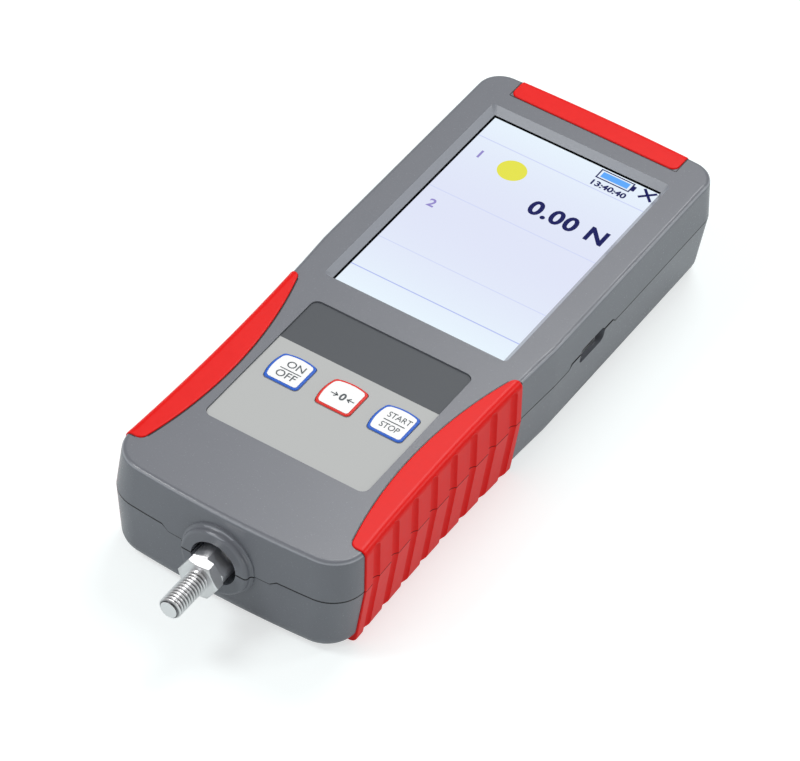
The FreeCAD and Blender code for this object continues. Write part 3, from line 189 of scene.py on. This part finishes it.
# %% [markdown]
# Where the mouldings meet. The materials are darkened there as painted shade of the open
# lines:
# along the parting line, round the grips and round the end band.

# %%
# The parting line's height, then half the width, slope and depth of its two steps.
PARTING, COLLAR_STEP, SOCKET_STEP = 18.5, (16.5, 0.5, 1.5), (11.2, 0.83, 1.2)
# The socket's place along Y, and where the front and right walls begin.
SOCKET_Y, FRONT_WALL, RIGHT_WALL = 25.5, -84.0, 31.0
# The arc of the grips' inner edge: its centre's X and Y, and its radius.
GRIP_X, GRIP_Y, GRIP_ARC = 158.7, -46.8, 133.0
# Where the grips end along Y, and the middle and half length of the arc between.
GRIP_FRONT, GRIP_BACK, GRIP_MIDDLE, GRIP_REACH = -79.6, -7.9, -43.75, 34.0
# The end band's front edge along Y, half its width, and the top face's lowest height.
BAND_FRONT, BAND_HALF, TOP_FACE = 81.75, 25.1, 30.0


def arc_distance(x, y):
    """Distance from the centre of the grips' curved inner edge, the same on both sides."""
    dx, dy = x.size() - GRIP_X, y - GRIP_Y
    return (dx * dx + dy * dy).math("POWER", 0.5)


def parting_line(x, y, z):
    """One on the parting line, which dips under the collar and rises over the socket."""
    half, slope, depth = COLLAR_STEP
    dip = ((half - x.size()) * slope).limited() * depth
    half, slope, depth = SOCKET_STEP
    rise = ((half - (y - SOCKET_Y).size()) * slope).limited() * depth
    height = z + dip * (y < FRONT_WALL) - rise * (x > RIGHT_WALL)
    return height.near(PARTING, 0.24)


def grip_outline(x, y, z):
    """One on the housing's top face beside the grips and the end band."""
    arc = arc_distance(x, y)
    stops = y.near(GRIP_FRONT, 0.16).either(y.near(GRIP_BACK, 0.16))
    ends = (arc < GRIP_ARC - 1.6) * stops
    along = arc.near(GRIP_ARC + 0.08, 0.2) * y.near(GRIP_MIDDLE, GRIP_REACH)
    front = y.near(BAND_FRONT, 0.18) * (x.size() < BAND_HALF - 0.1)
    sides = x.size().near(BAND_HALF, 0.15) * (y > BAND_FRONT + 0.05)
    return (z > TOP_FACE) * ends.either(along).either(front).either(sides)


# %% [markdown]
# Finishes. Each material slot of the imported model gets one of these.

# %%
# Where the foil turns dark along Y, where a key's border starts in height, how far
# the middle key's colour reaches, and the length over which the display pales.
DARK_FROM, BORDER_LOW, MIDDLE_REACH, DISPLAY_HALF = -29.35, 30.72, 7.5, 38.0
# The middle key's place along X, and the height above which the housing's rounded edges get a
# painted highlight.
MIDDLE_KEY, EDGE_HIGHLIGHT_LOW = 1.1, 26.0
# The share of gloss in the clear panel.
PANEL_GLOSS = 0.006


def moulded_shell():
    """Grey moulding, finely textured, with a painted highlight on its rounded upper edges and
    painted shade in its seams.
    """
    made = Surface("grey_shell", srgb(122, 125, 132), 0.4, specular=0.5)
    fine = made.noise(2600.0, 3.0, 0.6)
    broad = made.noise(60.0, 2.0)
    spot = made.place()
    # Painted shade in the open lines along the parting line, round the grips and round the end
    # band.
    seam_shade = parting_line(*spot).either(grip_outline(*spot)) * 0.92
    grey = made.mix(fine * 0.5 + broad * 0.5, srgb(113, 116, 123), srgb(119, 122, 129))
    # Painted highlight: the rounded upper edges and the window's bevels are drawn paler.
    edge = (1.0 - (made.facing_up() - 0.6).size() * 4.0).limited()
    grey = made.mix(edge * (spot[2] > EDGE_HIGHLIGHT_LOW) * 0.8, grey, srgb(176, 180, 187))
    made.set("Base Color", made.mix(seam_shade, grey, srgb(24, 25, 27)))
    made.set("Roughness", fine * 0.08 + 0.22)
    made.bump(fine, 0.06, 0.03)
    return made


def soft_grip():
    """Red soft moulding, satin and very slightly uneven, with painted shade in its seams."""
    made = Surface("red_grip", srgb(244, 14, 9), 0.42, specular=0.2)
    cloud = made.noise(500.0, 3.0)
    x, y, z = made.place()
    # Painted shade in the open lines: round the grip's inner edge and along the parting line.
    grip_rim_shade = arc_distance(x, y).near(GRIP_ARC, 0.3) * z.near(30.6, 0.5)
    seam_shade = z.near(PARTING, 0.13).either(grip_rim_shade) * 0.8
    red = made.mix(cloud, srgb(232, 12, 9), srgb(240, 20, 14))
    made.set("Base Color", made.mix(seam_shade, red, srgb(70, 6, 6)))
    made.set("Roughness", cloud * 0.1 + 0.3)
    made.bump(cloud, 0.15, 0.05)
    return made


def printed_foil():
    """Satin foil, dark grey behind the keys and light grey round them."""
    light, dark = srgb(185, 187, 186), srgb(78, 82, 87)
    made = Surface("foil_print", light, 0.45, specular=0.35)
    dark_part = made.place()[1] > DARK_FROM
    grain = made.noise(3500.0, 2.0)
    made.set("Base Color", made.mix(dark_part, light, dark))
    made.set("Roughness", grain * 0.08 + 0.42)
    made.bump(grain, 0.1, 0.02)
    return made


def key_surface():
    """The keys' coloured outer border: red on the middle key and blue beside it."""
    made = Surface("key_print", srgb(34, 88, 200), 0.35, specular=0.3)
    across, _, height = made.place()
    grain = made.noise(3000.0)
    border = made.mix(across.near(MIDDLE_KEY, MIDDLE_REACH), srgb(30, 96, 204),
                      srgb(226, 34, 22))
    made.set("Base Color", made.mix(height > BORDER_LOW, srgb(172, 174, 173), border))
    made.set("Roughness", grain * 0.06 + 0.33)
    return made


def steel(name, base, rough, streak):
    """Bright steel with fine marks that run round the load axis, and painted shade in the
    thread's roots.
    """
    made = Surface(name, base, rough, metallic=1.0)
    marks = made.noise(300.0, 3.0, 0.6, stretch=(1.0, streak, 1.0))
    x, y, z = made.place()
    radius = (x * x + (z - AXIS_HEIGHT) * (z - AXIS_HEIGHT)).math("POWER", 0.5)
    # Painted shade: the thread's roots are drawn dark. The tip's end face is not.
    crest = ((radius - ROOT_RADIUS) * 2.2).limited().either(y < STUD_TIP + 0.05)
    made.set("Base Color", made.mix(crest, (0.1, 0.1, 0.11), base))
    made.set("Roughness", marks * 0.12 + (rough - 0.05))
    made.bump(marks, 0.5, 0.03)
    return made


def plain(name, base, rough, metallic=0.0, scale=800.0, spread=0.12):
    """A quiet finish with a little variation in colour and gloss."""
    made = Surface(name, base, rough, metallic)
    cloud = made.noise(scale, 3.0)
    made.set("Base Color", made.mix(cloud, [c * (1 - spread) for c in base],
                                    [min(1.0, c * (1 + spread)) for c in base]))
    made.set("Roughness", cloud * 0.1 + (rough - 0.05))
    return made


def clear_panel():
    """A clear sheet: mostly see-through, with a thin gloss."""
    made = Surface("panel_glass", (1.0, 1.0, 1.0), 0.06)
    clear = made.node("ShaderNodeBsdfTransparent", {})
    gloss = made.node("ShaderNodeBsdfGlossy", {}, (1.0, 1.0, 1.0, 1.0), 0.05)
    mixed = made.node("ShaderNodeMixShader", {}, PANEL_GLOSS, clear.outputs[0],
                      gloss.outputs[0])
    output = made.tree.nodes["Material Output"]
    made.tree.links.new(mixed.outputs[0], output.inputs["Surface"])
    made.tree.nodes.remove(made.shader)
    return made


def lit(name, low, high):
    """A glowing part of the display's picture, paler towards its ends."""
    made = Surface(name, (0.01, 0.01, 0.01), 0.5, specular=0.0)
    along = made.place()[1]
    share = (along / DISPLAY_HALF - 1.0) * (along / DISPLAY_HALF - 1.0)
    made.set("Emission Color", made.mix(share, low, high))
    made.set("Emission Strength", 1.0)
    return made


MATERIALS = {
    "grey_shell": moulded_shell(),
    "red_grip": soft_grip(),
    "foil_print": printed_foil(),
    "key_print": key_surface(),
    "dome_steel": plain("dome_steel", (0.55, 0.56, 0.58), 0.3, 1.0),
    "board_green": plain("board_green", srgb(31, 90, 54), 0.35),
    "panel_glass": clear_panel(),
    "black_foam": plain("black_foam", srgb(26, 27, 29), 0.9),
    "lit_display": lit("lit_display", srgb(224, 229, 248), srgb(232, 244, 254)),
    "black_plastic": plain("black_plastic", srgb(32, 34, 36), 0.5),
    "bright_steel": steel("bright_steel", (0.88, 0.88, 0.89), 0.3, 30.0),
    "screw_steel": plain("screw_steel", (0.42, 0.43, 0.45), 0.35, 1.0),
    "cell_aluminium": plain("cell_aluminium", (0.6, 0.61, 0.63), 0.4, 1.0),
    "film_amber": plain("film_amber", srgb(184, 116, 38), 0.4),
    "battery_sleeve": plain("battery_sleeve", srgb(52, 92, 162), 0.3),
}
for entry in frame["record"]["subparts"]:
    solid = frame["nodes"][entry["node"]]
    solid.data.materials.clear()
    solid.data.materials.append(MATERIALS[entry["material_slot"]].material)

# %% [markdown]
# Flat printed pieces. Each lies a few hundredths of a millimetre over its surface.


# %%
def mesh_piece(name, points, faces, material):
    """A mesh from points in mm."""
    mesh = bpy.data.meshes.new(name)
    mesh.from_pydata([[c * MM for c in point] for point in points], [], faces)
    mesh.materials.append(material)
    mesh.update()
    made = bpy.data.objects.new(name, mesh)
    bpy.context.scene.collection.objects.link(made)
    return made


def patch(name, outline, height, material):
    """A flat patch of any outline."""
    points = [(x, y, height) for x, y in outline]
    return mesh_piece(name, points, [list(range(len(points)))], material)


def strip(name, x_low, x_high, y_low, y_high, height, material):
    """A flat patch with four square corners."""
    return patch(name, [(x_low, y_low), (x_high, y_low), (x_high, y_high),
                        (x_low, y_high)], height, material)


def words(name, text, x, y, size, height, material, wide=1.0, bold=0.0, spread=1.0):
    """Generic lettering, centred on a place in mm."""
    curve = bpy.data.curves.new(name, "FONT")
    curve.body = text
    curve.size = size * MM
    curve.align_x, curve.align_y = "CENTER", "CENTER"
    curve.offset = bold * MM
    curve.space_character = spread
    curve.resolution_u = 4
    curve.materials.append(material)
    made = bpy.data.objects.new(name, curve)
    made.location = (x * MM, y * MM, height * MM)
    made.scale = (wide, 1.0, 1.0)
    bpy.context.scene.collection.objects.link(made)
    return made


def ring_points(x, y, radius, count=48):
    """Points round a circle."""
    return [(x + radius * math.cos(i * math.tau / count),
             y + radius * math.sin(i * math.tau / count)) for i in range(count)]


# %% [markdown]
# The keys. A white field lies inside each coloured border and carries generic marks.

# %%
# The keys' place along Y, half width, top, bowed sides' radius and corner radius.
KEY_Y, KEY_HALF, KEY_TOP, KEY_BOW, KEY_CORNER = -38.8, 4.85, 30.95, 14.0, 1.45
KEYS = {"on_off": -13.9, "zero": MIDDLE_KEY, "start_stop": 16.1}
# The border's width, and how high the white field and the marks lie.
BORDER, FIELD_HEIGHT, MARK_HEIGHT = 0.74, KEY_TOP + 0.06, KEY_TOP + 0.12
# The field's outline is found along rays, one for each degree, in small steps.
RAYS, RAY_STEP, RAY_LIMIT = 360, 0.02, 9.0


def key_field(middle, inset):
    """The key's outline moved inwards: two sides straight, two bowed, corners rounded."""
    half, radius, corner = KEY_HALF - inset, KEY_BOW - inset, KEY_CORNER - inset
    off = math.sqrt(KEY_BOW ** 2 - KEY_HALF ** 2) - KEY_HALF
    points = []
    for i in range(RAYS):
        angle = math.radians(i)
        ray = Vector((math.cos(angle), math.sin(angle)))
        reach = 0.0
        while reach < RAY_LIMIT:
            x, y = ray.x * reach, ray.y * reach
            sides = [half - x, half + y, radius - math.hypot(x - off, y),
                     radius - math.hypot(x, y + off)]
            close = sorted(max(0.0, corner - side) for side in sides)[-2:]
            if min(sides) < 0.0 or math.hypot(*close) > corner:
                break
            reach += RAY_STEP
        points.append((middle + ray.x * reach, KEY_Y + ray.y * reach))
    return points


white_field = plain("key_white", srgb(250, 251, 251), 0.35, spread=0.01)
mark_grey = plain("mark_grey", srgb(70, 80, 84), 0.5, spread=0.03)


def key_words(name, upper, lower, size, wide):
    """Two words with a bar between them."""
    middle, ink = KEYS[name], mark_grey.material
    return [words("mark_%s_upper" % name, upper, middle + 0.35, KEY_Y + 2.05, size,
                  MARK_HEIGHT, ink, wide),
            words("mark_%s_lower" % name, lower, middle - 0.2, KEY_Y - 1.85, size,
                  MARK_HEIGHT, ink, wide),
            strip("mark_%s_bar" % name, middle - 3.0, middle + 3.0, KEY_Y - 0.05,
                  KEY_Y + 0.22, MARK_HEIGHT, ink)]


def arrow(name, tip, way):
    """A small arrow that points along X to its tip."""
    y, ink = KEY_Y + 0.1, mark_grey.material
    tail = tip - way * 2.1
    shaft = strip(name + "_shaft", min(tip, tail), max(tip, tail), y - 0.13, y + 0.13,
                  MARK_HEIGHT, ink)
    back, rise, thick = tip - way * 0.95, 0.85, 0.32
    inner, notch = back - way * 0.12, tip - way * thick * 1.3
    outline = [(tip, y), (back, y + rise), (inner, y + rise - thick), (notch, y),
               (inner, y - rise + thick), (back, y - rise)]
    return [shaft, patch(name + "_head", outline, MARK_HEIGHT, ink)]


for name, middle in KEYS.items():
    field = patch("key_%s_field" % name, key_field(middle, BORDER), FIELD_HEIGHT,
                  white_field.material)
    if name == "zero":
        marks = arrow("mark_zero_left", middle - 1.15, 1)
        marks += arrow("mark_zero_right", middle + 1.35, -1)
        marks.append(words("mark_zero_digit", "0", middle + 0.1, KEY_Y + 0.1, 3.4,
                           MARK_HEIGHT, mark_grey.material, 0.95, 0.09))
    elif name == "on_off":
        marks = key_words(name, "ON", "OFF", 3.3, 1.0)
    else:
        marks = key_words(name, "START", "STOP", 2.75, 0.82)
    for piece in [field] + marks:
        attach(piece, "button_" + name)

# %% [markdown]
# The display's picture lies on the display module, under the clear panel.

# %%
# The picture's height, half its width, and its front and back ends.
SCREEN, SCREEN_HALF, SCREEN_FRONT, SCREEN_BACK = 27.6, 25.2, -4.0, 75.3
# The painted shade along the picture's edge, under the window's rim: its outer half width, how
# far it laps over, and its two ends.
EDGE_HALF, EDGE_LAP, EDGE_FRONT, EDGE_BACK = 26.9, 0.05, -5.4, 77.4


def ink(name, *colour):
    """A glowing ink of one colour."""
    return lit(name, srgb(*colour), srgb(*colour)).material


line_blue = ink("line_blue", 176, 188, 240)
line_pale = ink("line_pale", 206, 214, 246)
navy = ink("screen_navy", 22, 26, 92)
purple = ink("screen_purple", 150, 140, 205)
yellow = ink("screen_yellow", 230, 228, 78)
sky = ink("screen_sky", 96, 170, 252)
# Painted shade: dark strips along the picture's left, right and back edges, under the window's
# rim.
black = plain("screen_edge_shade", srgb(14, 15, 17), 0.4).material
light = MATERIALS["lit_display"].material
inner = SCREEN_HALF - EDGE_LAP

picture = [strip("screen_light", -SCREEN_HALF, SCREEN_HALF, SCREEN_FRONT, SCREEN_BACK,
                 SCREEN - 0.08, light)]
for name, low, high, colour in (
        ("top", 66.8, 67.15, line_pale), ("second", 42.8, 43.05, line_pale),
        ("third", 18.75, 19.0, line_pale), ("low", 6.05, 6.4, line_blue)):
    picture.append(strip("screen_rule_" + name, -SCREEN_HALF, SCREEN_HALF, low, high,
                         SCREEN, colour))
for name, text, x, y, size, colour, wide, bold, spread in (
        ("reading", "0.00 N", 11.2, 51.4, 7.5, navy, 1.0, 0.26, 1.1),
        ("channel_one", "1", -20.8, 60.6, 4.2, purple, 1.0, 0.12, 1.0),
        ("channel_two", "2", -20.8, 37.2, 4.2, purple, 1.0, 0.12, 1.0),
        ("clock", "13:40:40", 12.6, 69.0, 2.8, navy, 1.1, 0.1, 1.0)):
    picture.append(words("screen_" + name, text, x, y, size, SCREEN, colour, wide, bold,
                         spread))
picture.append(patch("screen_lamp", ring_points(-10.8, 60.2, 3.95), SCREEN, yellow))
for name, left, right, low, high, lift, colour in (
        ("battery_case", 7.6, 17.6, 71.1, 74.9, 0.0, navy),
        ("battery_tip", 17.6, 18.5, 72.0, 74.0, 0.0, navy),
        ("battery_pale", 8.0, 17.2, 71.5, 74.5, 0.01, light),
        ("battery_fill", 8.6, 16.6, 71.9, 74.1, 0.02, sky),
        # The three dark edge strips are painted shade under the window's rim.
        ("edge_left", -EDGE_HALF, -inner, EDGE_FRONT, EDGE_BACK, 0.03, black),
        ("edge_right", inner, EDGE_HALF, EDGE_FRONT, EDGE_BACK, 0.03, black),
        ("edge_back", -EDGE_HALF, EDGE_HALF, SCREEN_BACK - EDGE_LAP, EDGE_BACK, 0.03,
         black)):
    picture.append(strip("screen_" + name, left, right, low, high, SCREEN + lift,
                         colour))
for turn in (0.8, -0.8):
    bar = strip("screen_cross_%s" % ("a" if turn > 0 else "b"), -2.6, 2.6, -0.4, 0.4,
                SCREEN, navy)
    bar.data.transform(Matrix.Translation((22.2 * MM, 73.0 * MM, 0.0)) @
                       Matrix.Rotation(turn, 4, "Z"))
    picture.append(bar)
for piece in picture:
    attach(piece, "housing")

# %% [markdown]
# The load stud's thread: a real helix with the pitch of an M6 thread.

# %%
# Mesh steps round one turn and along one pitch, the flat share of the root, the share
# of the flanks, and the bevel at the tip: its first radius and its slope.
TURN_STEPS, RISE_STEPS, FLAT, FLANK = 60, 20, 0.16, 0.6
TIP_RADIUS, TIP_SLOPE = 2.25, 1.1


def thread_radius(along, angle):
    """The thread's surface: a flat crest and root with straight flanks between."""
    phase = ((along - STUD_TIP) / PITCH + angle / math.tau) % 1.0
    flank = min(1.0, max(0.0, (abs(phase - 0.5) * 2.0 - FLAT) / FLANK))
    full = CREST - (CREST - ROOT_RADIUS) * (1.0 - flank)
    return min(full, TIP_RADIUS + (along - STUD_TIP) * TIP_SLOPE)


def threaded_rod():
    """The stud as one closed mesh, smooth but for its two ends."""
    points, faces = [], []
    count = int((STUD_ROOT - STUD_TIP) / PITCH * RISE_STEPS)
    for i in range(count + 1):
        along = STUD_TIP + i * PITCH / RISE_STEPS
        for k in range(TURN_STEPS):
            angle = k * math.tau / TURN_STEPS
            radius = thread_radius(along, angle)
            points.append((radius * math.cos(angle), along,
                           AXIS_HEIGHT + radius * math.sin(angle)))
    for i in range(count):
        for k in range(TURN_STEPS):
            a, b = i * TURN_STEPS + k, i * TURN_STEPS + (k + 1) % TURN_STEPS
            faces.append([a, a + TURN_STEPS, b + TURN_STEPS, b])
    faces.append(list(range(TURN_STEPS)))
    last = count * TURN_STEPS
    faces.append([last + k for k in reversed(range(TURN_STEPS))])
    made = mesh_piece("stud_thread", points, faces, MATERIALS["bright_steel"].material)
    for face in made.data.polygons:
        face.use_smooth = len(face.vertices) == 4
    return made


stud = threaded_rod()
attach(stud, "load_stud_train")
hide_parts("threaded_stud")

# %% [markdown]
# Floor, light and camera. The camera stands where the photograph was taken.

# %%
# Half the floor's width in mm, and how far it lies below the part, in metres.
FLOOR_HALF, FLOOR_DROP = 3000, 0.0004
# Each light's name, place and size in metres, and its power in watts.
LIGHTS = (("key_light", (-0.65, -0.52, 1.00), 0.4, 5.0),
          ("back_light", (-0.14, 0.70, 1.08), 0.6, 6.2),
          ("side_light", (0.70, 0.74, 0.65), 0.3, 2.0),
          ("front_light", (-0.47, -0.91, 0.79), 0.25, 0.8),
          ("right_light", (1.20, -0.20, 0.22), 0.5, 1.6))
# The fitted camera: its place in metres, and its directions to the right, down and ahead.
CAMERA = Vector((0.39733, -0.73420, 0.81348))
RIGHT = Vector((0.83298, 0.55077, 0.05289))
DOWN = Vector((0.41905, -0.56555, -0.71032))
AHEAD = Vector((-0.36131, 0.61384, -0.70189))


def floor():
    """A pale floor that looks white to the camera and lights the part less."""
    white = Surface("floor_white", (0.5, 0.56, 0.56), 0.9, specular=0.1)
    seen = Field(white, white.node("ShaderNodeLightPath", {}).outputs[0])
    white.set("Emission Color", white.mix(seen, (0.4, 0.4, 0.4), (1.0, 1.0, 1.0)))
    white.set("Emission Strength", 0.61)
    made = strip("floor", -FLOOR_HALF, FLOOR_HALF, -FLOOR_HALF, FLOOR_HALF, 0,
                 white.material)
    made.location.z = -FLOOR_DROP


def soft_light(name, place, size, power):
    """A round lamp that points at the part."""
    lamp = bpy.data.lights.new(name, "AREA")
    lamp.shape, lamp.size, lamp.energy = "DISK", size, power
    made = bpy.data.objects.new(name, lamp)
    made.location = place
    made.rotation_euler = (-Vector(place)).to_track_quat("-Z", "Y").to_euler()
    bpy.context.scene.collection.objects.link(made)


def camera():
    """The camera as it was fitted to the photograph."""
    lens = bpy.data.cameras.new("camera")
    lens.lens, lens.sensor_width = 207.68, 36.0
    lens.shift_x, lens.shift_y = 0.1322, 0.0395
    lens.clip_end = 50.0
    made = bpy.data.objects.new("camera", lens)
    turn = Matrix((RIGHT, -DOWN, -AHEAD)).transposed()
    made.matrix_world = Matrix.Translation(CAMERA) @ turn.to_4x4()
    bpy.context.scene.collection.objects.link(made)
    bpy.context.scene.camera = made


floor()
for light_values in LIGHTS:
    soft_light(*light_values)
camera()

scene = bpy.context.scene
scene.view_settings.view_transform = "Standard"
world = bpy.data.worlds.new("world")
world.use_nodes = True
backdrop = world.node_tree.nodes["Background"]
backdrop.inputs["Color"].default_value = (1.0, 1.0, 1.0, 1.0)
backdrop.inputs["Strength"].default_value = 0.36
scene.world = world
